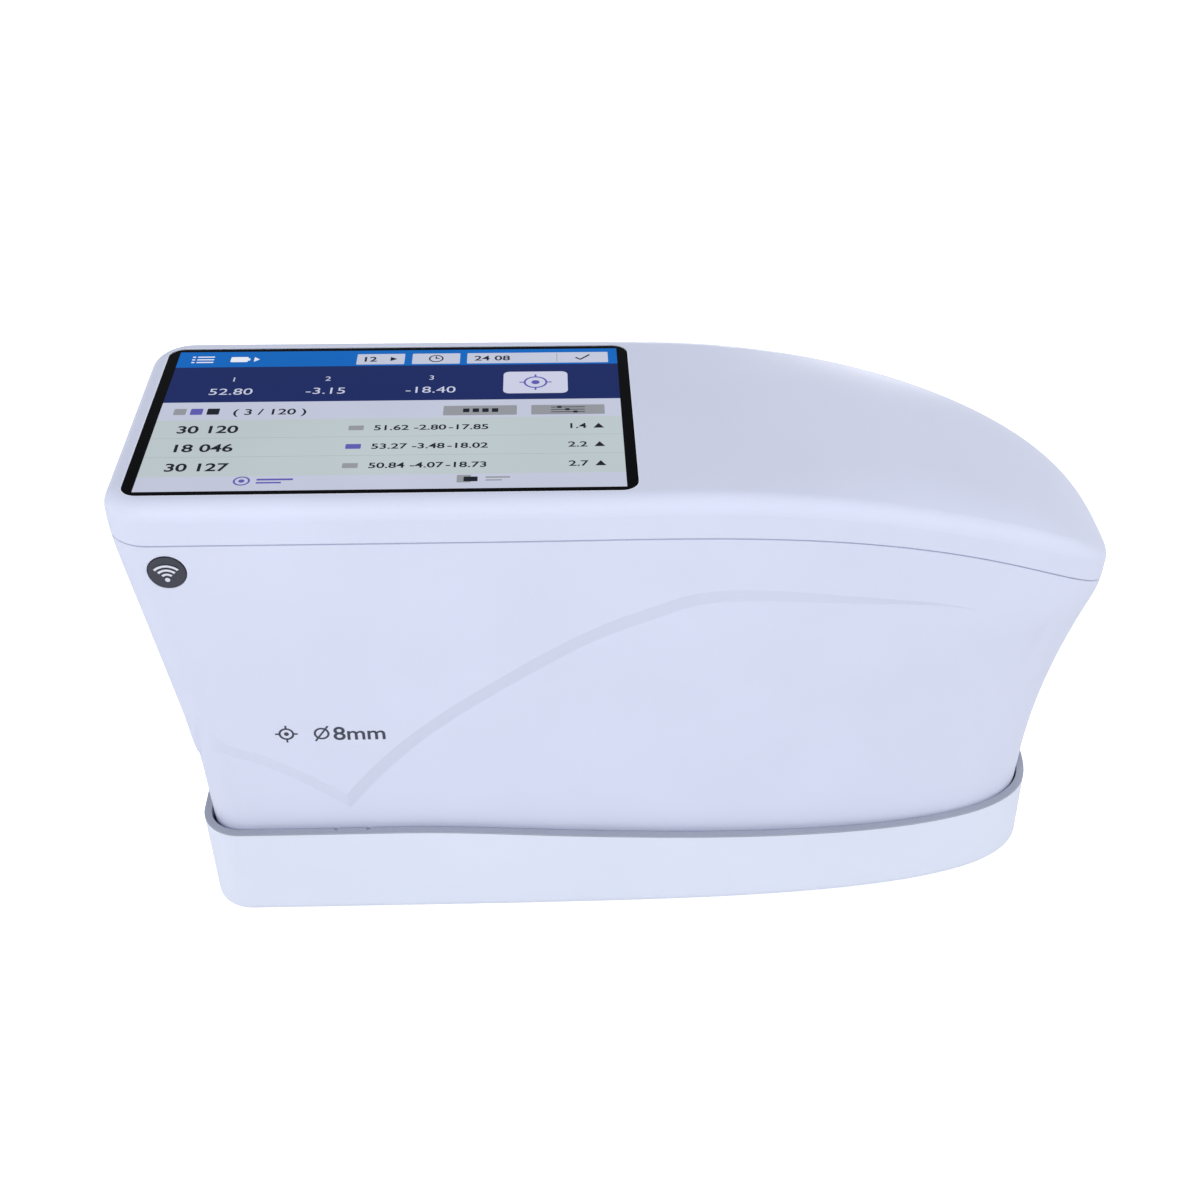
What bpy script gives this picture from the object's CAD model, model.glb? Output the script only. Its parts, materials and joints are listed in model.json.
import bpy
import bmesh
import json
from math import atan2, cos, degrees, pi, radians, sin
from mathutils import Matrix, Vector


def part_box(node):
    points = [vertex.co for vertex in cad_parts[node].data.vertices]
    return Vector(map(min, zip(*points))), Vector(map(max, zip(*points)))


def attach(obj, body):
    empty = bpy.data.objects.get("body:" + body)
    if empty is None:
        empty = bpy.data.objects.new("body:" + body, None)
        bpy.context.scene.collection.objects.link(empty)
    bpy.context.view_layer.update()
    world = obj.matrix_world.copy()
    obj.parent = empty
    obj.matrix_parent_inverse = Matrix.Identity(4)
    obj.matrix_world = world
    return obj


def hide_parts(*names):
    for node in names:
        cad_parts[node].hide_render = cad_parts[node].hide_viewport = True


# Benchtop colorimeter on its calibration base: materials, the lit display, the printed marks, the
# recessed screws and the socket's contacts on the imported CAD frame, in a plain white studio.
# Places handed to Blender are in metres; the sizes below are in millimetres and multiplied by MM.

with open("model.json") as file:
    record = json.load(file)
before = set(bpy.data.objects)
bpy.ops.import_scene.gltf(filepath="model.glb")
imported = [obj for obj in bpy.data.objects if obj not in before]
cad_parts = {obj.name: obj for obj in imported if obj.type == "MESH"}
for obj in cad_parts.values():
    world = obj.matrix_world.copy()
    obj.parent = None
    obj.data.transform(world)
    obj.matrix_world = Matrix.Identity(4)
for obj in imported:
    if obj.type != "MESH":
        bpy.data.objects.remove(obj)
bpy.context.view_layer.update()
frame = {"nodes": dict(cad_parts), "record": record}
MM = 0.001

# ---------------------------------------------------------------- colours, as 0-255 display values
SHELL = (214, 219, 238)
BASE = (220, 226, 241)
KEY = (208, 213, 234)
RIM = (154, 159, 174)
BEZEL = (3, 4, 7)
BADGE = (50, 52, 64)
BADGE_INK = (214, 217, 228)
NOTCH_INK = (58, 61, 72)
MARKING_INK = (64, 67, 80)
KEY_INK = (112, 116, 132)
GLASS_EDGE = (228, 232, 246)
CONTACT_GOLD = (224, 178, 96)

DISPLAY_COLOURS = {
    "header": (14, 103, 191),
    "navy": (28, 43, 99),
    "pale": (196, 201, 221),
    "row": (190, 201, 205),
    "line": (166, 176, 184),
    "button": (205, 208, 230),
    "grey": (150, 152, 160),
    "white": (236, 240, 250),
    "readout": (204, 209, 230),
    "dark": (30, 34, 46),
    "violet": (96, 92, 176),
}
DISPLAY_GLOW = 0.97           # emission strength of the lit display


def srgb(red, green, blue):
    """Linear colour from 0-255 display values."""
    values = [v / 255 for v in (red, green, blue)]
    return [v / 12.92 if v <= 0.04045 else ((v + 0.055) / 1.055) ** 2.4 for v in values]


def tint(colour, factor):
    return [min(c * factor, 1) for c in colour]


# ---------------------------------------------------------------- materials
RELIEF_EDGE_SHADE = 0.94      # of the housing's colour, on the relief's falling edge
EDGE_TURN = (0.03, 0.14)      # that edge by its normal: how far it turns to the nose,
EDGE_FALL = (-0.10, -0.16)    # how far it looks down,
EDGE_OUT = (0.80, 0.84)       # and how squarely it still looks out of the front or back
NOTCH_SPACING = 6.4           # between the middles of the rim's two aiming notches
NOTCH_WIDTH = 0.6
NOTCH_MATCH = 0.004           # how closely a vertex fits a notch's side
SIDE_FADE = 0.08              # the ink fades out over this much past a notch's sides,
FRONT_FADE = 0.1              # in front of it
REAR_FADE = 1.0               # and behind the base's middle line, so that the back stays bare
CLOUD_SIZE = 22               # of the slow change of colour in moulded plastic
SHEEN_SIZE = 6                # and of its patches of sheen
SHEEN_SPREAD = 0.05           # roughness either side of the plastic's own


class Nodes:
    """Short hand for building one material's node tree in object coordinates."""

    def __init__(self, name):
        self.material = bpy.data.materials.new(name)
        self.material.use_nodes = True
        self.tree = self.material.node_tree
        self.shader = self.tree.nodes["Principled BSDF"]
        self.coordinates = self.tree.nodes.new("ShaderNodeTexCoord").outputs
        self.place = self.coordinates["Object"]

    def link(self, a, b):
        self.tree.links.new(a, b)

    def stretched(self, sx, sy, sz):
        """Object coordinates scaled differently along each axis."""
        node = self.tree.nodes.new("ShaderNodeMapping")
        node.inputs["Scale"].default_value = (sx, sy, sz)
        self.link(self.place, node.inputs["Vector"])
        return node.outputs["Vector"]

    def axes(self, vector):
        """A varying vector's X, Y and Z."""
        node = self.tree.nodes.new("ShaderNodeSeparateXYZ")
        self.link(vector, node.inputs["Vector"])
        return node.outputs

    def noise(self, size, detail=3.0, place=None):
        """Noise from 0 to 1 with features of about size metres."""
        node = self.tree.nodes.new("ShaderNodeTexNoise")
        node.inputs["Scale"].default_value = 1 / size
        node.inputs["Detail"].default_value = detail
        self.link(place or self.place, node.inputs["Vector"])
        return node.outputs["Fac"]

    def cells(self, size):
        """Distance from the middle of cells of about size metres."""
        node = self.tree.nodes.new("ShaderNodeTexVoronoi")
        node.inputs["Scale"].default_value = 1 / size
        self.link(self.place, node.inputs["Vector"])
        return node.outputs["Distance"]

    def ramp(self, value, low, high, colour_a, colour_b):
        """Colour a up to low, colour b from high on."""
        node = self.tree.nodes.new("ShaderNodeValToRGB")
        node.color_ramp.elements[0].position = low
        node.color_ramp.elements[1].position = high
        node.color_ramp.elements[0].color = (*colour_a, 1)
        node.color_ramp.elements[1].color = (*colour_b, 1)
        self.link(value, node.inputs["Fac"])
        return node.outputs["Color"]

    def math(self, operation, a, b=0.0):
        """One sum on a varying value; b is a number or another value."""
        node = self.tree.nodes.new("ShaderNodeMath")
        node.operation = operation
        self.link(a, node.inputs[0])
        if isinstance(b, float):
            node.inputs[1].default_value = b
        else:
            self.link(b, node.inputs[1])
        return node.outputs["Value"]

    def product(self, *values):
        """Several varying values multiplied."""
        whole = values[0]
        for value in values[1:]:
            whole = self.math("MULTIPLY", whole, value)
        return whole

    def span(self, value, low, high, start=0.0, end=1.0):
        """A value from start to end mapped to low-high."""
        node = self.tree.nodes.new("ShaderNodeMapRange")
        node.inputs["From Min"].default_value = start
        node.inputs["From Max"].default_value = end
        node.inputs["To Min"].default_value = low
        node.inputs["To Max"].default_value = high
        self.link(value, node.inputs["Value"])
        return node.outputs["Result"]

    def bump(self, height, depth, strength=1.0):
        """Relief of the given depth in metres."""
        node = self.tree.nodes.new("ShaderNodeBump")
        node.inputs["Distance"].default_value = depth
        node.inputs["Strength"].default_value = strength
        self.link(height, node.inputs["Height"])
        self.wire(Normal=node.outputs["Normal"])

    def overlay(self, factor, colour):
        """Another colour over the base colour, where factor is 1."""
        node = self.tree.nodes.new("ShaderNodeMix")
        node.data_type = "RGBA"
        node.inputs["B"].default_value = (*colour, 1)
        self.link(self.shader.inputs["Base Color"].links[0].from_socket, node.inputs["A"])
        self.link(factor, node.inputs["Factor"])
        self.wire(Base_Color=node.outputs["Result"])

    def wire(self, **values):
        """Varying values for the shader's own sockets."""
        for key, value in values.items():
            self.link(value, self.shader.inputs[key.replace("_", " ")])

    def set(self, **values):
        """Constants for the shader's own sockets."""
        for key, value in values.items():
            self.shader.inputs[key.replace("_", " ")].default_value = value
        return self


def moulded(name, colour, rough, grain=0.35 * MM, relief=0.004 * MM, cloud=0.012):
    """Moulded plastic: fine spark-eroded grain, slight cloudiness and uneven sheen."""
    n = Nodes(name)
    cloudy = n.noise(CLOUD_SIZE * MM, 2.0)
    n.wire(Base_Color=n.ramp(cloudy, 0.3, 0.7, tint(colour, 1 - cloud), tint(colour, 1 + cloud)))
    n.wire(Roughness=n.span(n.noise(SHEEN_SIZE * MM), rough - SHEEN_SPREAD, rough + SHEEN_SPREAD))
    n.bump(n.noise(grain, 2.0), relief)
    return n


def shell_white():
    """Housing plastic; the relief's falling edge has a duller, slightly darker grain."""
    n = moulded("shell_white", srgb(*SHELL), 0.5).set(Specular_IOR_Level=0.12)
    normal = n.axes(n.coordinates["Normal"])
    turned = n.span(normal["X"], 0.0, 1.0, *EDGE_TURN)
    falling = n.span(normal["Z"], 0.0, 1.0, *EDGE_FALL)
    outward = n.span(n.product(normal["Y"], normal["Y"]), 0.0, 1.0, *EDGE_OUT)
    n.overlay(n.product(turned, falling, outward), tint(srgb(*SHELL), RELIEF_EDGE_SHADE))
    return n.material


def base_white():
    return moulded("base_white", srgb(*BASE), 0.52).set(Specular_IOR_Level=0.2).material


def key_white():
    return moulded("key_white", srgb(*KEY), 0.35, relief=0.002 * MM).material


def rim_grey():
    """Grey rim; its two aiming notches are inked dark."""
    n = moulded("rim_grey", srgb(*RIM), 0.5, grain=0.25 * MM, relief=0.006 * MM, cloud=0.03)
    port_low, port_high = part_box("aperture_mask")
    port_x = (port_low[0] + port_high[0]) / 2
    apart, half = NOTCH_SPACING / 2 * MM, NOTCH_WIDTH / 2 * MM
    front = min(v.co.y for v in frame["nodes"]["base_rim"].data.vertices if v.co.y < 0
                and abs(abs(abs(v.co.x - port_x) - apart) - half) < NOTCH_MATCH * MM)
    place = n.axes(n.place)
    from_notch = place["X"]
    for shift in (port_x, apart):
        from_notch = n.math("ABSOLUTE", n.math("SUBTRACT", from_notch, shift))
    across = n.span(from_notch, 1.0, 0.0, half, half + SIDE_FADE * MM)
    inside = n.span(place["Y"], 0.0, 1.0, front - FRONT_FADE * MM, front)
    near_side = n.span(place["Y"], 1.0, 0.0, 0.0, REAR_FADE * MM)
    n.overlay(n.product(across, inside, near_side), srgb(*NOTCH_INK))
    return n.material


def black_plastic():
    return moulded("black_plastic", srgb(34, 35, 38), 0.5, relief=0.008 * MM, cloud=0.08).material


def inner_plastic():
    return moulded("inner_plastic", srgb(72, 74, 78), 0.55, 0.5 * MM, 0.01 * MM, 0.06).material


def screen_glass():
    """Black-backed cover glass: near mirror, with the faintest smear."""
    n = Nodes("screen_glass").set(Specular_IOR_Level=0.01)
    smear = n.noise(18 * MM, 4.0)
    n.wire(Base_Color=n.ramp(smear, 0.35, 0.75, srgb(*BEZEL), tint(srgb(*BEZEL), 1.18)))
    n.wire(Roughness=n.span(smear, 0.04, 0.10))
    return n.material


def adhesive():
    return moulded("adhesive", srgb(30, 30, 30), 0.8, relief=0.01 * MM, cloud=0.1).material


def lcd():
    return moulded("lcd", srgb(96, 104, 118), 0.35, 1.2 * MM, cloud=0.05).set(Metallic=0.6).material


def metal(name, colour, rough, along=(1, 1, 1)):
    """Plated metal with fine drawn lines."""
    n = Nodes(name).set(Metallic=1.0)
    lines = n.noise(0.4 * MM, 3.0, n.stretched(*along))
    n.wire(Base_Color=n.ramp(lines, 0.3, 0.7, tint(colour, 0.88), colour))
    n.wire(Roughness=n.span(lines, rough - 0.06, rough + 0.08))
    n.bump(lines, 0.004 * MM)
    return n.material


def steel():
    return metal("steel", srgb(196, 198, 202), 0.3, (1, 1, 6))


def circuit_board():
    """Solder mask over copper: lighter tracks show through, and the sheen is patchy."""
    n = Nodes("circuit_board")
    tracks = n.noise(1.6 * MM, 1.0, n.stretched(1, 0.25, 1))
    n.wire(Base_Color=n.ramp(tracks, 0.49, 0.51, srgb(18, 84, 48), srgb(28, 104, 60)))
    n.wire(Roughness=n.span(n.cells(2.4 * MM), 0.25, 0.45))
    n.bump(tracks, 0.03 * MM, 0.6)
    return n.material


def chip():
    return moulded("chip", srgb(38, 39, 42), 0.6, 0.15 * MM, 0.006 * MM, 0.05).material


def battery_wrap():
    n = moulded("battery_wrap", srgb(52, 110, 172), 0.25, 4 * MM, 0.03 * MM, 0.04)
    return n.set(Coat_Weight=0.3).material


def foam():
    return moulded("foam", srgb(58, 58, 60), 0.9, 0.6 * MM, 0.12 * MM, 0.15).material


def feet_rubber():
    return moulded("feet_rubber", srgb(48, 48, 50), 0.75, 0.3 * MM, 0.02 * MM, 0.08).material


def tile_white():
    """Glazed white reference tile: hard gloss with a faint unevenness."""
    n = Nodes("tile_white").set(Coat_Weight=0.5)
    wave = n.noise(5 * MM, 2.0)
    n.wire(Base_Color=n.ramp(wave, 0.3, 0.7, srgb(240, 240, 236), srgb(246, 246, 243)))
    n.wire(Roughness=n.span(wave, 0.05, 0.1))
    n.bump(wave, 0.02 * MM, 0.4)
    return n.material


def sphere_white():
    return moulded("sphere_white", srgb(244, 244, 242), 0.85, 0.5 * MM, 0.02 * MM).material


def black_anodised():
    n = moulded("black_anodised", srgb(36, 36, 39), 0.4, 0.2 * MM, 0.006 * MM, 0.08)
    return n.set(Metallic=0.5).material


def lens():
    """Coated glass with a faint change of hue."""
    n = Nodes("lens").set(Transmission_Weight=0.9, IOR=1.5)
    coating = n.noise(3 * MM, 1.0)
    n.wire(Base_Color=n.ramp(coating, 0.4, 0.6, srgb(214, 226, 236), srgb(226, 220, 240)))
    n.wire(Roughness=n.span(coating, 0.01, 0.04))
    return n.material


def badge():
    n = moulded("badge", srgb(*BADGE), 0.3, 0.2 * MM, 0.002 * MM, 0.05)
    return n.set(Specular_IOR_Level=0.3).material


def printed(name, colour, rough=0.5):
    """Pad-printed ink: slightly uneven cover."""
    n = Nodes(name).set(Specular_IOR_Level=0.2)
    cover = n.noise(0.25 * MM, 2.0)
    n.wire(Base_Color=n.ramp(cover, 0.2, 0.8, tint(colour, 0.94), tint(colour, 1.05)))
    n.wire(Roughness=n.span(cover, rough - 0.05, rough + 0.1))
    return n.material


def lit(name, colour):
    """One colour of the lit display, glowing behind the cover glass."""
    n = Nodes(name).set(Base_Color=(0, 0, 0, 1), Roughness=0.08, Specular_IOR_Level=0.01)
    n.set(Emission_Strength=DISPLAY_GLOW)
    n.wire(Emission_Color=n.ramp(n.noise(30 * MM, 1.0), 0.3, 0.7, tint(colour, 0.96), tint(colour, 1.03)))
    return n.material


MAKERS = (shell_white, base_white, rim_grey, key_white, black_plastic, inner_plastic, screen_glass,
          adhesive, lcd, steel, circuit_board, chip, battery_wrap, foam, feet_rubber, tile_white,
          sphere_white, black_anodised, lens, badge)


# ---------------------------------------------------------------- shared helpers
FRAME_CREASE = radians(28)    # edges sharper than this stay crisp
GROWN_CREASE = radians(35)


def smooth(data, crease):
    """Smooth shading, with the edges sharper than crease kept crisp."""
    for polygon in data.polygons:
        polygon.use_smooth = True
    data.set_sharp_from_angle(angle=crease)


def scene_object(name, data):
    """A new object at the origin, linked to the scene."""
    made = bpy.data.objects.new(name, data)
    bpy.context.scene.collection.objects.link(made)
    return made


def mesh_object(name, mesh):
    """A new object from a bmesh, which is used up."""
    data = bpy.data.meshes.new(name)
    mesh.to_mesh(data)
    mesh.free()
    return scene_object(name, data)


def evaluated_mesh(holder):
    """A plain mesh of an object with its text or its modifiers worked out."""
    return bpy.data.meshes.new_from_object(holder.evaluated_get(bpy.context.evaluated_depsgraph_get()))


def dress_frame():
    """Every CAD node gets its slot's material and smooth shading with crisp real edges."""
    made = {maker.__name__: maker() for maker in MAKERS}
    slot_of = {part["node"]: part["material_slot"] for part in frame["record"]["subparts"]}
    for name, node in frame["nodes"].items():
        node.data.materials.clear()
        node.data.materials.append(made[slot_of[name]])
        smooth(node.data, FRAME_CREASE)


# ---------------------------------------------------------------- flat artwork
LAYER = 0.014                 # between layers of artwork
DIGIT_CAP = 0.70              # height of the built-in font's digits at size 1
WELD = 1e-5                   # artwork corners this close are one


def rounded_outline(x0, y0, x1, y1, radius, steps=6):
    """Corner points of a rounded rectangle, counter-clockwise."""
    radius = min(radius, (x1 - x0) / 2, (y1 - y0) / 2)
    corners = [(x1 - radius, y1 - radius, 0), (x0 + radius, y1 - radius, 90),
               (x0 + radius, y0 + radius, 180), (x1 - radius, y0 + radius, 270)]
    points = []
    for cx, cy, start in corners:
        for k in range(steps + 1):
            angle = radians(start + 90 * k / steps)
            points.append((cx + radius * cos(angle), cy + radius * sin(angle)))
    return points


def ring_points(cx, cy, radius, start=0, end=360, steps=40):
    """Points along an arc from start to end in degrees, with steps to a full turn."""
    count = max(int(steps * abs(end - start) / 360), 4)
    angles = [radians(start + (end - start) * k / count) for k in range(count + 1)]
    return [(cx + radius * cos(angle), cy + radius * sin(angle)) for angle in angles]


class Artwork:
    """Flat shapes in millimetres on one plane, each with its own colour and layer."""

    def __init__(self, name, plane):
        self.name = name
        self.plane = plane
        self.mesh = bmesh.new()
        self.materials = []

    def colour(self, material):
        """The material's index on this piece."""
        if material not in self.materials:
            self.materials.append(material)
        return self.materials.index(material)

    def corners(self, points, layer):
        return [self.mesh.verts.new(Vector((x, y, layer * LAYER))) for x, y in points]

    def face(self, points, layer, material):
        made = self.mesh.faces.new(self.corners(points, layer))
        made.material_index = self.colour(material)
        if made.normal.z < 0:
            made.normal_flip()

    def box(self, x0, y0, x1, y1, layer, material, radius=0.0):
        points = [(x0, y0), (x1, y0), (x1, y1), (x0, y1)]
        self.face(rounded_outline(x0, y0, x1, y1, radius) if radius else points, layer, material)

    def band(self, outer, inner, layer, material):
        """Quads between two rows of points."""
        index = self.colour(material)
        a, b = self.corners(outer, layer), self.corners(inner, layer)
        for k in range(len(a) - 1):
            made = self.mesh.faces.new((a[k], a[k + 1], b[k + 1], b[k]))
            made.material_index = index

    def ring(self, cx, cy, radius, width, layer, material, start=0, end=360):
        outer = ring_points(cx, cy, radius, start, end)
        inner = ring_points(cx, cy, radius - width, start, end)
        self.band(outer, inner, layer, material)

    def disc(self, cx, cy, radius, layer, material):
        self.face(ring_points(cx, cy, radius)[:-1], layer, material)

    def bar(self, x0, y0, x1, y1, width, layer, material):
        """Straight stroke with square ends."""
        run = Vector((x1 - x0, y1 - y0)).normalized() * (width / 2)
        points = [(x0 + run.y, y0 - run.x), (x1 + run.y, y1 - run.x),
                  (x1 - run.y, y1 + run.x), (x0 - run.y, y0 + run.x)]
        self.face(points, layer, material)

    def target(self, cx, cy, layer, material, radius, stroke, dot, start, end, tick):
        """Ring with a middle dot, and four ticks across it from start to end, tick wide."""
        self.ring(cx, cy, radius, stroke, layer, material)
        self.disc(cx, cy, dot, layer, material)
        for angle in range(0, 360, 90):
            dx, dy = cos(radians(angle)), sin(radians(angle))
            self.bar(cx + start * dx, cy + start * dy, cx + end * dx, cy + end * dy, tick,
                     layer + 1, material)

    def number(self, text, x, y, cap, layer, material, align="CENTER", width=1.0, weight=0.0):
        """Digits with their middle height at y; cap is their height, weight is added round them."""
        curve = bpy.data.curves.new(self.name + "_digits", "FONT")
        curve.body = text
        curve.size = cap / DIGIT_CAP
        curve.align_x = align
        curve.offset = weight
        holder = scene_object(self.name + "_digits", curve)
        bpy.context.view_layer.update()
        flat = evaluated_mesh(holder)
        place = Matrix.Translation((x, y - cap / 2, layer * LAYER))
        flat.transform(place @ Matrix.Diagonal((width, 1, 1, 1)))
        index = self.colour(material)
        start = len(self.mesh.faces)
        self.mesh.from_mesh(flat)
        self.mesh.faces.ensure_lookup_table()
        for made in self.mesh.faces[start:]:
            made.material_index = index
        bpy.data.objects.remove(holder)
        bpy.data.curves.remove(curve)
        bpy.data.meshes.remove(flat)

    def build(self, body, slot=None):
        """The finished piece, riding on a body."""
        bmesh.ops.remove_doubles(self.mesh, verts=self.mesh.verts, dist=WELD)
        self.mesh.transform(Matrix.Scale(MM, 4))
        self.mesh.transform(self.plane)
        piece = mesh_object(self.name, self.mesh)
        for material in self.materials:
            piece.data.materials.append(material)
        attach(piece, body)


# ---------------------------------------------------------------- display
# Places on the display are measured from the top left corner of its lit area, downwards but for
# LABEL_Y, READOUT_Y, TICK_STROKES and TAB_RING, which count upwards as Artwork does.
ACTIVE_LENGTH = 86.4
ACTIVE_WIDTH = 51.84
HEADER_END = 6.35             # the bands' lower edges
READOUT_END = 20.3
TITLE_END = 27.0
ROWS_END = 47.0
LABEL_CAP = 1.7               # heights of the digits
SMALL_CAP = 1.8
HEADER_CAP = 1.9
TITLE_CAP = 2.1
READOUT_CAP = 2.4
CODE_CAP = 2.6
DIGIT_WIDTH = 1.15            # the small digits are drawn this much wider
DIGIT_WEIGHT = 0.045          # and this much is added round them

HEADER_MIDDLE = 3.65
LIST_TOP = 2.1                # first line of the list symbol
LIST_STEP = 1.1
LIST_HALF = 0.22              # half a line's height
LIST_PARTS = ((2.7, 3.3), (3.7, 7.0))
BATTERY = (10.3, 2.2, 13.7, 4.3)        # left, top, right and bottom
BATTERY_TIP = (13.7, 2.8, 14.1, 3.7)
FIELDS = ((35.1, 44.5), (46.0, 55.4), (56.8, 84.6))
FIELD_TOP = 1.5
FIELD_END = 5.8
CLOCK_X = 50.7
CLOCK_RADIUS = 1.45
CLOCK_HAND = 0.28
TICK_STROKES = ((78.2, -3.7, 79.2, -4.6), (79.1, -4.6, 81.0, -2.6))
TICK_WIDTH = 0.4

READOUTS = ((12.1, "1", "52.80"), (30.2, "2", "-3.15"), (50.2, "3", "-18.40"))
LABEL_Y = -11.4
READOUT_Y = -16.2
MEASURE_MIDDLE = (70.3, 13.7)
MEASURE_HALF = (6.2, 4.3)
MEASURE_TARGET = {"radius": 2.3, "stroke": 0.4, "dot": 0.8, "start": 1.9, "end": 3.1, "tick": 0.35}

SWATCHES = ((2.6, "grey"), (5.7, "violet"), (8.8, "dark"))
SWATCH_TOP = 22.7
SWATCH = 2.3
TITLE_MIDDLE = 24.1
TITLE_KEYS = ((53.0, 66.8), (69.5, 83.3))
KEY_TOP = 22.6
KEY_END = 26.2
SLIDER_TOP = 23.5
SLIDER_STEP = 0.9

ROWS = (("30 120", "51.62", "-2.80", "-17.85", "1.4"),
        ("18 046", "53.27", "-3.48", "-18.02", "2.2"),
        ("30 127", "50.84", "-4.07", "-18.73", "2.7"))
CHOSEN_ROW = 1                # its swatch is violet
ROW_MIDDLE = 0.52             # of a row's height, where its text sits
ROW_LINE = 0.06               # half the height of the line between two rows
CODE_START = 4.2
VALUE_STARTS = (40.4, 47.8, 54.2)
DIFFERENCE_START = 76.2

TAB_RING = (18.6, -48.6)
TAB_BARS = ((21.2, 47.9, 27.6, 48.5, "violet"), (21.2, 49.0, 25.6, 49.5, "violet"),
            (61.5, 48.0, 65.8, 48.5, "grey"), (61.5, 49.0, 64.4, 49.4, "grey"))


class Display(Artwork):
    """Artwork on the glass; patch, arrow and figures count y downwards, the other calls upwards."""

    def __init__(self):
        low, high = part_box("touch_glass")
        left = (low[0] + high[0]) / 2 - ACTIVE_LENGTH / 2 * MM
        super().__init__("display_image", Matrix.Translation((left, ACTIVE_WIDTH / 2 * MM, high[2])))
        self.ink = {name: lit("display_" + name, srgb(*value)) for name, value in DISPLAY_COLOURS.items()}

    def patch(self, x0, top, x1, bottom, layer, colour, radius=0.0):
        self.box(x0, -bottom, x1, -top, layer, self.ink[colour], radius)

    def arrow(self, x0, x1, middle, half, layer, colour):
        """Filled triangle that points to the right."""
        self.face([(x0, half - middle), (x0, -half - middle), (x1, -middle)], layer, self.ink[colour])

    def figures(self, text, x, middle, cap, layer):
        """Small dark digits that start at x."""
        self.number(text, x, -middle, cap, layer, self.ink["dark"], "LEFT", DIGIT_WIDTH, DIGIT_WEIGHT)


def draw_bands(art):
    bands = (("header", HEADER_END), ("navy", READOUT_END), ("pale", TITLE_END), ("row", ROWS_END),
             ("pale", ACTIVE_WIDTH))
    top = 0
    for colour, bottom in bands:
        art.patch(0, top, ACTIVE_LENGTH, bottom, 1, colour)
        top = bottom


def draw_header(art):
    """List and battery symbols, then three fields: a number, a clock, and a number with a tick."""
    dark = art.ink["dark"]
    for k in range(3):
        y = LIST_TOP + LIST_STEP * k
        for x0, x1 in LIST_PARTS:
            art.patch(x0, y - LIST_HALF, x1, y + LIST_HALF, 2, "white")
    art.patch(*BATTERY, 2, "white", 0.3)
    art.patch(*BATTERY_TIP, 2, "white")
    art.arrow(14.9, 16.0, 3.25, 0.95, 2, "white")
    for x0, x1 in FIELDS:
        art.patch(x0, FIELD_TOP, x1, FIELD_END, 2, "pale", 0.25)
    y = -HEADER_MIDDLE
    art.number("12", 37.6, y, HEADER_CAP, 3, dark, width=1.1, weight=0.06)
    art.arrow(41.7, 43.1, HEADER_MIDDLE, 0.85, 3, "dark")
    art.ring(CLOCK_X, y, CLOCK_RADIUS, 0.3, 3, dark)
    art.bar(CLOCK_X, y, CLOCK_X, y + 0.9, CLOCK_HAND, 3, dark)
    art.bar(CLOCK_X, y, CLOCK_X + 0.7, y, CLOCK_HAND, 4, dark)
    art.figures("24 08", 58.2, HEADER_MIDDLE, HEADER_CAP, 3)
    art.patch(74.4, 1.9, 74.6, 5.4, 3, "line")
    for k, stroke in enumerate(TICK_STROKES):
        art.bar(*stroke, TICK_WIDTH, 3 + k, dark)


def draw_readouts(art):
    """Three numbered readouts and the measuring button."""
    for x, label, value in READOUTS:
        art.number(label, x, LABEL_Y, LABEL_CAP, 2, art.ink["readout"])
        art.number(value, x, READOUT_Y, READOUT_CAP, 2, art.ink["readout"], width=1.12)
    x, y = MEASURE_MIDDLE
    half_x, half_y = MEASURE_HALF
    art.patch(x - half_x, y - half_y, x + half_x, y + half_y, 2, "button", 1.2)
    art.target(x, -y, 3, art.ink["violet"], **MEASURE_TARGET)


def draw_title(art):
    """Three swatches, a count and two grey keys: four blocks, and three sliders."""
    for x, colour in SWATCHES:
        art.patch(x, SWATCH_TOP, x + SWATCH, SWATCH_TOP + SWATCH, 2, colour, 0.2)
    art.figures("( 3 / 120 )", 13.6, TITLE_MIDDLE, TITLE_CAP, 2)
    for x0, x1 in TITLE_KEYS:
        art.patch(x0, KEY_TOP, x1, KEY_END, 2, "grey", 0.2)
    for k in range(4):
        art.patch(56.7 + 1.8 * k, 23.7, 57.9 + 1.8 * k, 25.1, 3, "dark")
    for k in range(3):
        y = SLIDER_TOP + SLIDER_STEP * k
        art.patch(73.2, y - 0.12, 79.6, y + 0.12, 3, "dark")
        art.patch(74.4 + 1.5 * k, y - 0.38, 75.2 + 1.5 * k, y + 0.38, 4, "dark")


def draw_rows(art):
    """Matches: a code, a swatch, three values, and a difference with an upward arrow."""
    height = (ROWS_END - TITLE_END) / len(ROWS)
    for k, (code, *values, difference) in enumerate(ROWS):
        y = TITLE_END + height * (k + ROW_MIDDLE)
        art.number(code, CODE_START, -y, CODE_CAP, 2, art.ink["dark"], "LEFT", 1.1, 0.08)
        for x, value in zip(VALUE_STARTS, values):
            art.figures(value, x, y, SMALL_CAP, 2)
        art.patch(35.8, y - 0.85, 38.6, y + 0.85, 2, "violet" if k == CHOSEN_ROW else "grey", 0.2)
        art.figures(difference, DIFFERENCE_START, y, SMALL_CAP, 2)
        art.face([(81.0, -y - 0.85), (83.0, -y - 0.85), (82.0, -y + 0.9)], 2, art.ink["dark"])
        if k:
            edge = TITLE_END + height * k
            art.patch(0, edge - ROW_LINE, ACTIVE_LENGTH, edge + ROW_LINE, 2, "line")


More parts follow.
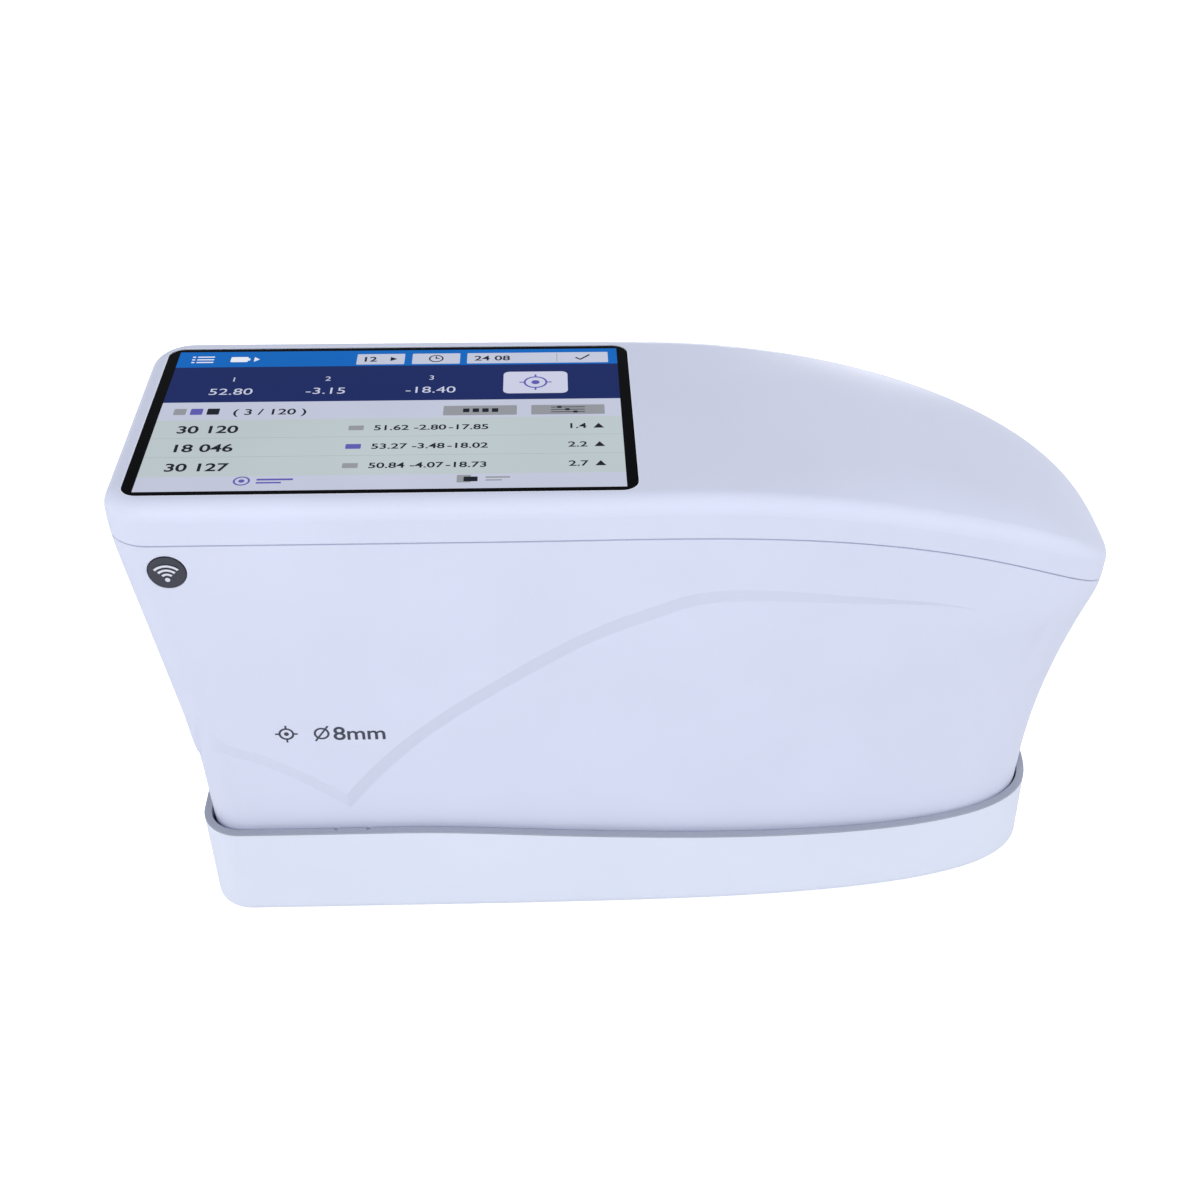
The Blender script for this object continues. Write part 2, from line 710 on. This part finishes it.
def draw_tabs(art):
    """Two tabs, each a symbol with two bars in place of words: measuring and comparing."""
    art.ring(*TAB_RING, 1.5, 0.35, 2, art.ink["violet"])
    art.disc(*TAB_RING, 0.55, 2, art.ink["violet"])
    art.patch(56.4, 47.4, 58.9, 49.9, 2, "grey", 0.2)
    art.patch(57.6, 48.0, 60.1, 49.6, 3, "dark", 0.2)
    for x0, top, x1, bottom, colour in TAB_BARS:
        art.patch(x0, top, x1, bottom, 2, colour)


def build_display():
    art = Display()
    for draw in (draw_bands, draw_header, draw_readouts, draw_title, draw_rows, draw_tabs):
        draw(art)
    art.build("instrument", "screen_glass")


# ---------------------------------------------------------------- printed marks
WALL_LEAN = radians(2.4)      # the front wall leans out as it rises
MARK_X = -57.4                # middle of the port marking on that wall
MARK_Z = 48.2
RAY_START = -100              # in front of everything
BADGE_DOT_Y = -1.45           # the arcs' centre, under the badge's middle
BADGE_STROKE = 0.46
BADGE_ARCS = (1.4, 2.3, 3.2)
PORT_TARGET_X = -8.6
PORT_TARGET = {"radius": 1.5, "stroke": 0.42, "dot": 0.48, "start": 1.2, "end": 2.15, "tick": 0.38}
DIAMETER_X = -1.9             # middle of the diameter sign
DIAMETER_SLOPE = (1.3, 1.9)   # half its stroke's run and rise
PORT_SIZE_X = 0.2             # start of the size
PORT_SIZE_CAP = 3.3
MEASURE_KEY_TARGET = {"radius": 2.5, "stroke": 0.4, "dot": 0.6, "start": 2.0, "end": 3.5, "tick": 0.4}
POWER_RING = (1.6, 0.32)      # radius and stroke, open at the top
POWER_OPENING = (122, 418)    # degrees, where the ring starts and ends


def plane_at(place, along, up):
    """Plane through place: its x runs along one direction, its y up the other, its z outwards."""
    turn = Matrix((along, up, along.cross(up))).transposed().to_4x4()
    return Matrix.Translation(place) @ turn


def front_wall(x, y, z):
    """Plane on the front wall, through a point of it."""
    return plane_at((x, y, z), Vector((1, 0, 0)), Vector((0, -sin(WALL_LEAN), cos(WALL_LEAN))))


def wall_y(x, z):
    """Outer face of the front wall at (x, z), found by a ray on the housing."""
    start = Vector((x, RAY_START * MM, z))
    hit, place, _, _ = frame["nodes"]["main_housing"].ray_cast(start, Vector((0, 1, 0)))
    return place.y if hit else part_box("main_housing")[0][1]


def build_badge_symbol():
    """A dot with three arcs over it."""
    low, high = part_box("badge_disc")
    art = Artwork("badge_symbol", front_wall((low[0] + high[0]) / 2, low[1], (low[2] + high[2]) / 2))
    ink = printed("badge_ink", srgb(*BADGE_INK))
    art.disc(0, BADGE_DOT_Y, BADGE_STROKE, 2, ink)
    for radius in BADGE_ARCS:
        art.ring(0, BADGE_DOT_Y, radius, BADGE_STROKE, 2, ink, 45, 135)
    art.build("instrument", "badge")


def build_port_marking():
    """The port's size on the front wall, over the port: a target, a diameter sign and 8 mm."""
    x, z = MARK_X * MM, MARK_Z * MM
    art = Artwork("port_marking", front_wall(x, wall_y(x, z), z))
    ink = printed("marking_ink", srgb(*MARKING_INK))
    art.target(PORT_TARGET_X, 0, 2, ink, **PORT_TARGET)
    art.ring(DIAMETER_X, 0, PORT_TARGET["radius"], PORT_TARGET["stroke"], 2, ink)
    run, rise = DIAMETER_SLOPE
    art.bar(DIAMETER_X - run, -rise, DIAMETER_X + run, rise, PORT_TARGET["tick"], 3, ink)
    art.number("8mm", PORT_SIZE_X, 0, PORT_SIZE_CAP, 2, ink, "LEFT", 1.06, 0.06)
    art.build("instrument")


def build_key_marks():
    """Generic marks on the two keys: a target where it measures, a ring and bar where it powers."""
    ink = printed("key_ink", srgb(*KEY_INK))
    up = Vector((0, 0, 1))
    low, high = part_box("measure_key")
    place = ((low[0] + high[0]) / 2, high[1], (low[2] + high[2]) / 2)
    art = Artwork("measure_key_mark", plane_at(place, Vector((-1, 0, 0)), up))
    art.target(0, 0, 2, ink, **MEASURE_KEY_TARGET)
    art.build("measure_button")

    low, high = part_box("power_key")
    place = (low[0], (low[1] + high[1]) / 2, (low[2] + high[2]) / 2)
    art = Artwork("power_key_mark", plane_at(place, Vector((0, -1, 0)), up))
    art.ring(0, -0.1, *POWER_RING, 2, ink, *POWER_OPENING)
    art.bar(0, 0.3, 0, 1.9, 0.34, 2, ink)
    art.build("power_button")


# ---------------------------------------------------------------- trim
GLASS_RADIUS = 3.0
EDGE_GAP = 0.2                # the line's outer side, past the glass
EDGE_START = 0.02             # and its inner side


def build_glass_edge():
    """Thin bright line where the cover's recess meets the glass."""
    low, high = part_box("touch_glass")
    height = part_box("top_cover")[1][2] - 2 * LAYER * MM
    half_x, half_y = (high[0] - low[0]) / 2 / MM, (high[1] - low[1]) / 2 / MM
    art = Artwork("glass_edge_line", Matrix.Translation(((low[0] + high[0]) / 2, 0, height)))
    rows = []
    for past in (EDGE_GAP, EDGE_START):
        x, y = half_x + past, half_y + past
        row = rounded_outline(-x, -y, x, y, GLASS_RADIUS + past, 8)
        rows.append(row + row[:1])
    pale = moulded("glass_edge_pale", srgb(*GLASS_EDGE), 0.3, relief=0.001 * MM).material
    art.band(*rows, 0, pale)
    art.build("instrument", "shell_white")


# ---------------------------------------------------------------- repeated pieces
class Tree:
    """Short hand for building a geometry node tree with named inputs."""

    def __init__(self, name, **kinds):
        """kinds gives the named inputs, in order, with their socket kinds."""
        self.group = bpy.data.node_groups.new(name, "GeometryNodeTree")
        self.group.interface.new_socket("Geometry", in_out="OUTPUT", socket_type="NodeSocketGeometry")
        self.names = {}
        for key, kind in kinds.items():
            made = self.group.interface.new_socket(key, in_out="INPUT", socket_type="NodeSocket" + kind)
            self.names[key] = made.identifier
        self.given = self.group.nodes.new("NodeGroupInput").outputs

    def node(self, kind, links=None, values=None, **settings):
        """A node with its settings, its constants and what feeds it; returns its outputs."""
        made = self.group.nodes.new(kind)
        for name, value in settings.items():
            setattr(made, name, value)
        for name, value in (values or {}).items():
            made.inputs[name].default_value = value
        for name, sources in (links or {}).items():
            for source in sources if isinstance(sources, tuple) else (sources,):
                self.group.links.new(source, made.inputs[name])
        return made.outputs

    def finish(self, copies):
        """Real geometry in the given material as the tree's result."""
        real = self.node("GeometryNodeRealizeInstances", {"Geometry": copies})
        coated = self.node("GeometryNodeSetMaterial",
                           {"Geometry": real[0], "Material": self.given["Material"]})
        self.node("NodeGroupOutput", {"Geometry": coated[0]})
        return self

    def grow(self, name, points, values, vectors=None):
        """Run the tree on bare points and keep the result as a plain mesh object."""
        data = bpy.data.meshes.new(name)
        data.from_pydata(points, [], [])
        for key, rows in (vectors or {}).items():
            attribute = data.attributes.new(key, "FLOAT_VECTOR", "POINT")
            for k, row in enumerate(rows):
                attribute.data[k].vector = row
        holder = bpy.data.objects.new(name + "_points", data)
        modifier = holder.modifiers.new("repeat", "NODES")
        modifier.node_group = self.group
        for key, value in values.items():
            modifier[self.names[key]] = value
        bpy.context.scene.collection.objects.link(holder)
        made = evaluated_mesh(holder)
        made.name = name
        smooth(made, GROWN_CREASE)
        bpy.data.objects.remove(holder)
        bpy.data.meshes.remove(data)
        return scene_object(name, made)


# ---------------------------------------------------------------- screws
SCREW_NODES = ("plate_screws", "optics_screws", "cover_screws", "bracket_screws", "board_screws",
               "key_screws", "io_screws")
HEAD_RADIUS = 2.4
HEAD_HEIGHT = 1.5
SHANK_RADIUS = 1.2
SHANK_SIDES = 20
RECESS_REACH = 1.25
RECESS_HALF_WIDTH = 0.3
# The head's rings as (inset from its rim, depth under its top), and the recess's as (share of the
# cross, depth under the head's top).
HEAD_RINGS = ((0.0, HEAD_HEIGHT), (0.0, 0.55), (0.09, 0.3), (0.3, 0.11), (0.6, 0.03), (0.85, 0.0))
RECESS_RINGS = ((1.0, 0.02), (0.94, 0.12), (0.55, 0.95))
CROSS_STEPS = (26, 36, 45, 54, 64)      # degrees, on the stretch between two arms
HEAD_SHARE = 0.4              # of the head's width: what lies farther out belongs to the head
FRAME_WELD = 0.001            # corners of the frame's loose triangles this close are one
SEED_STEP = 7                 # between the seeds of two nodes


def loose_groups(mesh):
    """Sets of vertices that hang together."""
    waiting = set(mesh.verts)
    groups = []
    while waiting:
        group, edge = set(), [waiting.pop()]
        while edge:
            vert = edge.pop()
            group.add(vert)
            for link in vert.link_edges:
                other = link.other_vert(vert)
                if other in waiting:
                    waiting.discard(other)
                    edge.append(other)
        groups.append(group)
    return groups


def off_axis(point, middle, axis):
    """Distance from the line through middle along one axis."""
    gap = point - middle
    gap[axis] = 0
    return gap.length


def screw_station(group):
    """One screw's head centre, facing and length, from its vertices."""
    low = Vector([min(v.co[k] for v in group) for k in range(3)])
    high = Vector([max(v.co[k] for v in group) for k in range(3)])
    size, middle = high - low, (low + high) / 2
    across = 2 * HEAD_RADIUS * MM
    along = max(range(3), key=lambda k: abs(size[k] - across))
    wide = [v.co[along] for v in group if off_axis(v.co, middle, along) > HEAD_SHARE * across]
    way = 1 if sum(wide) / len(wide) > middle[along] else -1
    head = middle.copy()
    head[along] = high[along] if way > 0 else low[along]
    facing = Vector((0, 0, 0))
    facing[along] = way
    return head, facing, size[along]


def screw_stations(node):
    """Where a node's screws sit, in a fixed order."""
    mesh = bmesh.new()
    mesh.from_mesh(frame["nodes"][node].data)
    bmesh.ops.remove_doubles(mesh, verts=mesh.verts, dist=FRAME_WELD * MM)
    stations = [screw_station(group) for group in loose_groups(mesh)]
    mesh.free()
    return sorted(stations, key=lambda station: [round(v / MM, 2) for v in station[0]])


def cross_edge(angle, corner):
    """Distance from the middle of the cross recess to its edge; corner is where an arm ends."""
    arm = abs((angle + 45) % 90 - 45)
    return RECESS_REACH / cos(radians(arm)) if arm <= corner else RECESS_HALF_WIDTH / sin(radians(arm))


def screw_head():
    """One pan head with a tapered cross recess, its outer face at the origin, facing +Z."""
    corner = degrees(atan2(RECESS_HALF_WIDTH, RECESS_REACH))
    angles = sorted({(quarter + step) % 360 for quarter in range(0, 360, 90)
                     for step in (-corner, 0, corner, *CROSS_STEPS)})
    count = len(angles)
    reaches = [([HEAD_RADIUS - inset] * count, depth) for inset, depth in HEAD_RINGS]
    reaches += [([share * cross_edge(a, corner) for a in angles], depth) for share, depth in RECESS_RINGS]
    mesh = bmesh.new()
    rows = [[mesh.verts.new((r * cos(radians(a)), r * sin(radians(a)), -depth))
             for r, a in zip(reach, angles)] for reach, depth in reaches]
    for near, far in zip(rows, rows[1:]):
        for k in range(count):
            mesh.faces.new((near[k], near[(k + 1) % count], far[(k + 1) % count], far[k]))
    mesh.faces.new(rows[-1])
    mesh.faces.new(rows[0][::-1])
    mesh.transform(Matrix.Scale(MM, 4))
    return mesh_object("screw_head", mesh)


def screw_tree():
    """A head and its shank at every point, along the point's facing, each turned by a seeded angle."""
    tree = Tree("screw_set", Geometry="Geometry", Head="Object", Head_Height="Float",
                Shank_Radius="Float", Length="Float", Seed="Int", Material="Material")
    given = tree.given
    head = tree.node("GeometryNodeObjectInfo", {"Object": given["Head"]})
    depth = tree.node("ShaderNodeMath", {0: given["Length"], 1: given["Head_Height"]},
                      operation="SUBTRACT")[0]
    shank = tree.node("GeometryNodeMeshCylinder", {"Radius": given["Shank_Radius"], "Depth": depth},
                      {"Vertices": SHANK_SIDES})
    half = tree.node("ShaderNodeMath", {0: depth}, {1: -0.5}, operation="MULTIPLY")[0]
    drop = tree.node("ShaderNodeMath", {0: half, 1: given["Head_Height"]}, operation="SUBTRACT")[0]
    place = tree.node("ShaderNodeCombineXYZ", {"Z": drop})[0]
    lowered = tree.node("GeometryNodeTransform", {"Geometry": shank["Mesh"], "Translation": place})[0]
    whole = tree.node("GeometryNodeJoinGeometry", {0: (head["Geometry"], lowered)})[0]
    facing = tree.node("GeometryNodeInputNamedAttribute", values={"Name": "facing"},
                       data_type="FLOAT_VECTOR")
    aimed = tree.node("FunctionNodeAlignRotationToVector", {"Vector": facing["Attribute"]}, axis="Z")[0]
    chance = tree.node("FunctionNodeRandomValue", {"Seed": given["Seed"]}, {3: 2 * pi},
                       data_type="FLOAT")[1]
    spin = tree.node("FunctionNodeAxisAngleToRotation", {"Angle": chance}, {"Axis": (0, 0, 1)})[0]
    turned = tree.node("FunctionNodeRotateRotation", {"Rotation": aimed, "Rotate By": spin},
                       rotation_space="LOCAL")[0]
    copies = tree.node("GeometryNodeInstanceOnPoints",
                       {"Points": given["Geometry"], "Instance": whole, "Rotation": turned})
    return tree.finish(copies[0])


def build_screws():
    """Every screw of the instrument, with its cross recess, in place of the frame's plain ones."""
    head = screw_head()
    tree = screw_tree()
    finish = frame["nodes"]["plate_screws"].data.materials[0]
    for row, node in enumerate(SCREW_NODES):
        by_length = {}
        for place, facing, length in screw_stations(node):
            by_length.setdefault(round(length / MM, 2), []).append((place, facing))
        for k, (length, stations) in enumerate(sorted(by_length.items())):
            places, facings = zip(*stations)
            values = {"Head": head, "Head_Height": HEAD_HEIGHT * MM, "Shank_Radius": SHANK_RADIUS * MM,
                      "Length": length * MM, "Seed": SEED_STEP * row + k, "Material": finish}
            name = "recessed_" + node + ("_%d" % (k + 1) if len(by_length) > 1 else "")
            piece = tree.grow(name, places, values, {"facing": facings})
            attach(piece, "instrument")
            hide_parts(node)
    bpy.data.objects.remove(head)


# ---------------------------------------------------------------- socket's contacts
CONTACT_STEP = 0.5
CONTACT_COUNT = 12
CONTACT_WIDTH = 0.27
CONTACT_LENGTH = 4.6
CONTACT_RISE = 0.03           # half its thickness
CONTACT_NOSE = 0.25           # length of its tapered end
CONTACT_START = 1.3           # from the socket's mouth
TONGUE_HALF = 0.35            # half the tongue's thickness


def contact_strip():
    """One contact along X from the origin, tapered to a thin end at the mouth."""
    profile = [(0, 0), (CONTACT_NOSE, CONTACT_RISE), (CONTACT_LENGTH, CONTACT_RISE),
               (CONTACT_LENGTH, -CONTACT_RISE), (0, -CONTACT_RISE)]
    mesh = bmesh.new()
    sides = [[mesh.verts.new((x * MM, y * MM, z * MM)) for x, z in profile]
             for y in (-CONTACT_WIDTH / 2, CONTACT_WIDTH / 2)]
    mesh.faces.new(sides[0][::-1])
    mesh.faces.new(sides[1])
    for k in range(len(profile)):
        nxt = (k + 1) % len(profile)
        mesh.faces.new((sides[0][k], sides[0][nxt], sides[1][nxt], sides[1][k]))
    bmesh.ops.recalc_face_normals(mesh, faces=mesh.faces)
    return mesh_object("contact", mesh)


def row_tree():
    """Copies of one item in even steps along a line from every point."""
    tree = Tree("even_row", Geometry="Geometry", Item="Object", Count="Int", Step="Vector",
                Material="Material")
    item = tree.node("GeometryNodeObjectInfo", {"Object": tree.given["Item"]})
    line = tree.node("GeometryNodeMeshLine", {"Count": tree.given["Count"], "Offset": tree.given["Step"]})
    row = tree.node("GeometryNodeInstanceOnPoints", {"Points": line[0], "Instance": item["Geometry"]})
    copies = tree.node("GeometryNodeInstanceOnPoints",
                       {"Points": tree.given["Geometry"], "Instance": row[0]})
    return tree.finish(copies[0])


def build_port_contacts():
    """Two rows of gold contacts, above and below the socket's tongue."""
    low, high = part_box("usb_socket")
    middle_y, middle_z = (low[1] + high[1]) / 2, (low[2] + high[2]) / 2
    item = contact_strip()
    x = low[0] + CONTACT_START * MM
    first = middle_y - CONTACT_STEP * (CONTACT_COUNT - 1) / 2 * MM
    starts = [(x, first, middle_z + side * TONGUE_HALF * MM) for side in (-1, 1)]
    values = {"Item": item, "Count": CONTACT_COUNT, "Step": (0, CONTACT_STEP * MM, 0),
              "Material": metal("contact_gold", srgb(*CONTACT_GOLD), 0.22)}
    piece = row_tree().grow("port_contacts", starts, values)
    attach(piece, "instrument")
    bpy.data.objects.remove(item)


# ---------------------------------------------------------------- studio
CAMERA_PLACE = (-14.85, -282.0, 261.4)
CAMERA_TURN = (1.93, 35.86, 0.35)       # yaw, pitch and roll, degrees
FOCAL_PIXELS = 1721
FRAME_PIXELS = 1200
SENSOR_WIDTH = 36
NEAREST = 0.01                          # metres, where the camera starts to see
LAMP_AIM = (0, 0, 0.05)                 # metres, as the lamps' places and sizes
LAMPS = (("key", (-0.26, -0.78, 0.66), 0.45, 5.5),
         ("fill", (0.92, -0.10, 0.50), 0.6, 3.3),
         ("back", (0.20, 0.85, 0.07), 0.3, 2.6),
         ("end", (-0.85, 0.10, 0.07), 0.3, 1.1))
FLOOR_LIFT = 0.66             # the floor's glow for the camera, so that it shows as white
FLOOR_RINGS = (0.25, 1.0, 4.0, 40.0)    # metres
FLOOR_SIDES = 64
FLOOR_GAP = 0.02              # under the feet, so that the two faces never coincide
WORLD_LEVEL = 0.40            # strength of the even light; what the camera sees is white
WORLD_TINT = (0.965, 0.985, 1.06)


def make_camera():
    camera = scene_object("camera", bpy.data.cameras.new("camera"))
    camera.data.sensor_width = SENSOR_WIDTH
    camera.data.lens = SENSOR_WIDTH * (FOCAL_PIXELS / FRAME_PIXELS)
    camera.data.clip_start = NEAREST
    camera.location = Vector(CAMERA_PLACE) * MM
    yaw, pitch, roll = (radians(v) for v in CAMERA_TURN)
    turn = Matrix.Rotation(-yaw, 4, "Z") @ Matrix.Rotation(radians(90) - pitch, 4, "X")
    camera.rotation_mode = "QUATERNION"
    camera.rotation_quaternion = (turn @ Matrix.Rotation(roll, 4, "Z")).to_quaternion()
    bpy.context.scene.camera = camera


def build_lamps():
    for name, place, size, power in LAMPS:
        data = bpy.data.lights.new(name, "AREA")
        data.shape = "DISK"
        data.size = size
        data.energy = power
        lamp = scene_object(name, data)
        lamp.location = place
        lamp.rotation_mode = "QUATERNION"
        lamp.rotation_quaternion = (Vector(LAMP_AIM) - Vector(place)).to_track_quat("-Z", "Y")


def seen_rays(tree):
    """1 for what the camera sees directly, in a reflection or through glass, and 0 for light."""
    rays = tree.nodes.new("ShaderNodeLightPath")
    value = rays.outputs["Is Camera Ray"]
    for other in ("Is Glossy Ray", "Is Transmission Ray"):
        either = tree.nodes.new("ShaderNodeMath")
        either.operation = "MAXIMUM"
        tree.links.new(value, either.inputs[0])
        tree.links.new(rays.outputs[other], either.inputs[1])
        value = either.outputs[0]
    return value


def floor_material():
    """Pale floor that shows as white, and keeps the object's soft shadow."""
    n = Nodes("floor_pale").set(Roughness=0.9, Specular_IOR_Level=0.1, Emission_Color=(1, 1, 1, 1))
    n.wire(Base_Color=n.ramp(n.noise(12 * MM, 2.0), 0.3, 0.7, (0.80, 0.80, 0.80), (0.82, 0.82, 0.82)))
    n.wire(Emission_Strength=n.span(seen_rays(n.tree), 0.0, FLOOR_LIFT))
    return n.material


def build_floor():
    """Level disc, wide enough to meet the white surroundings from any side."""
    z = -FLOOR_GAP * MM
    mesh = bmesh.new()
    middle = mesh.verts.new((0, 0, z))
    turns = [2 * pi * k / FLOOR_SIDES for k in range(FLOOR_SIDES)]
    rims = [[mesh.verts.new((reach * cos(t), reach * sin(t), z)) for t in turns] for reach in FLOOR_RINGS]
    for k in range(FLOOR_SIDES):
        nxt = (k + 1) % FLOOR_SIDES
        mesh.faces.new((middle, rims[0][k], rims[0][nxt]))
        for near, far in zip(rims, rims[1:]):
            mesh.faces.new((near[k], far[k], far[nxt], near[nxt]))
    floor = mesh_object("floor", mesh)
    floor.data.materials.append(floor_material())


def build_world():
    """Even light from all round, seen as white."""
    world = bpy.data.worlds.new("studio")
    bpy.context.scene.world = world
    world.use_nodes = True
    tree = world.node_tree
    seen = seen_rays(tree)
    level = tree.nodes.new("ShaderNodeMapRange")
    level.inputs["To Min"].default_value = WORLD_LEVEL
    level.inputs["To Max"].default_value = 1.0
    hue = tree.nodes.new("ShaderNodeMix")
    hue.data_type = "RGBA"
    hue.inputs["A"].default_value = (*WORLD_TINT, 1)
    hue.inputs["B"].default_value = (1, 1, 1, 1)
    tree.links.new(seen, level.inputs["Value"])
    tree.links.new(seen, hue.inputs["Factor"])
    background = tree.nodes["Background"]
    tree.links.new(hue.outputs["Result"], background.inputs["Color"])
    tree.links.new(level.outputs["Result"], background.inputs["Strength"])


make_camera()
dress_frame()
build_display()
build_badge_symbol()
build_port_marking()
build_glass_edge()
build_screws()
build_port_contacts()
build_key_marks()
build_floor()
build_world()
build_lamps()
bpy.context.scene.view_settings.view_transform = "Standard"
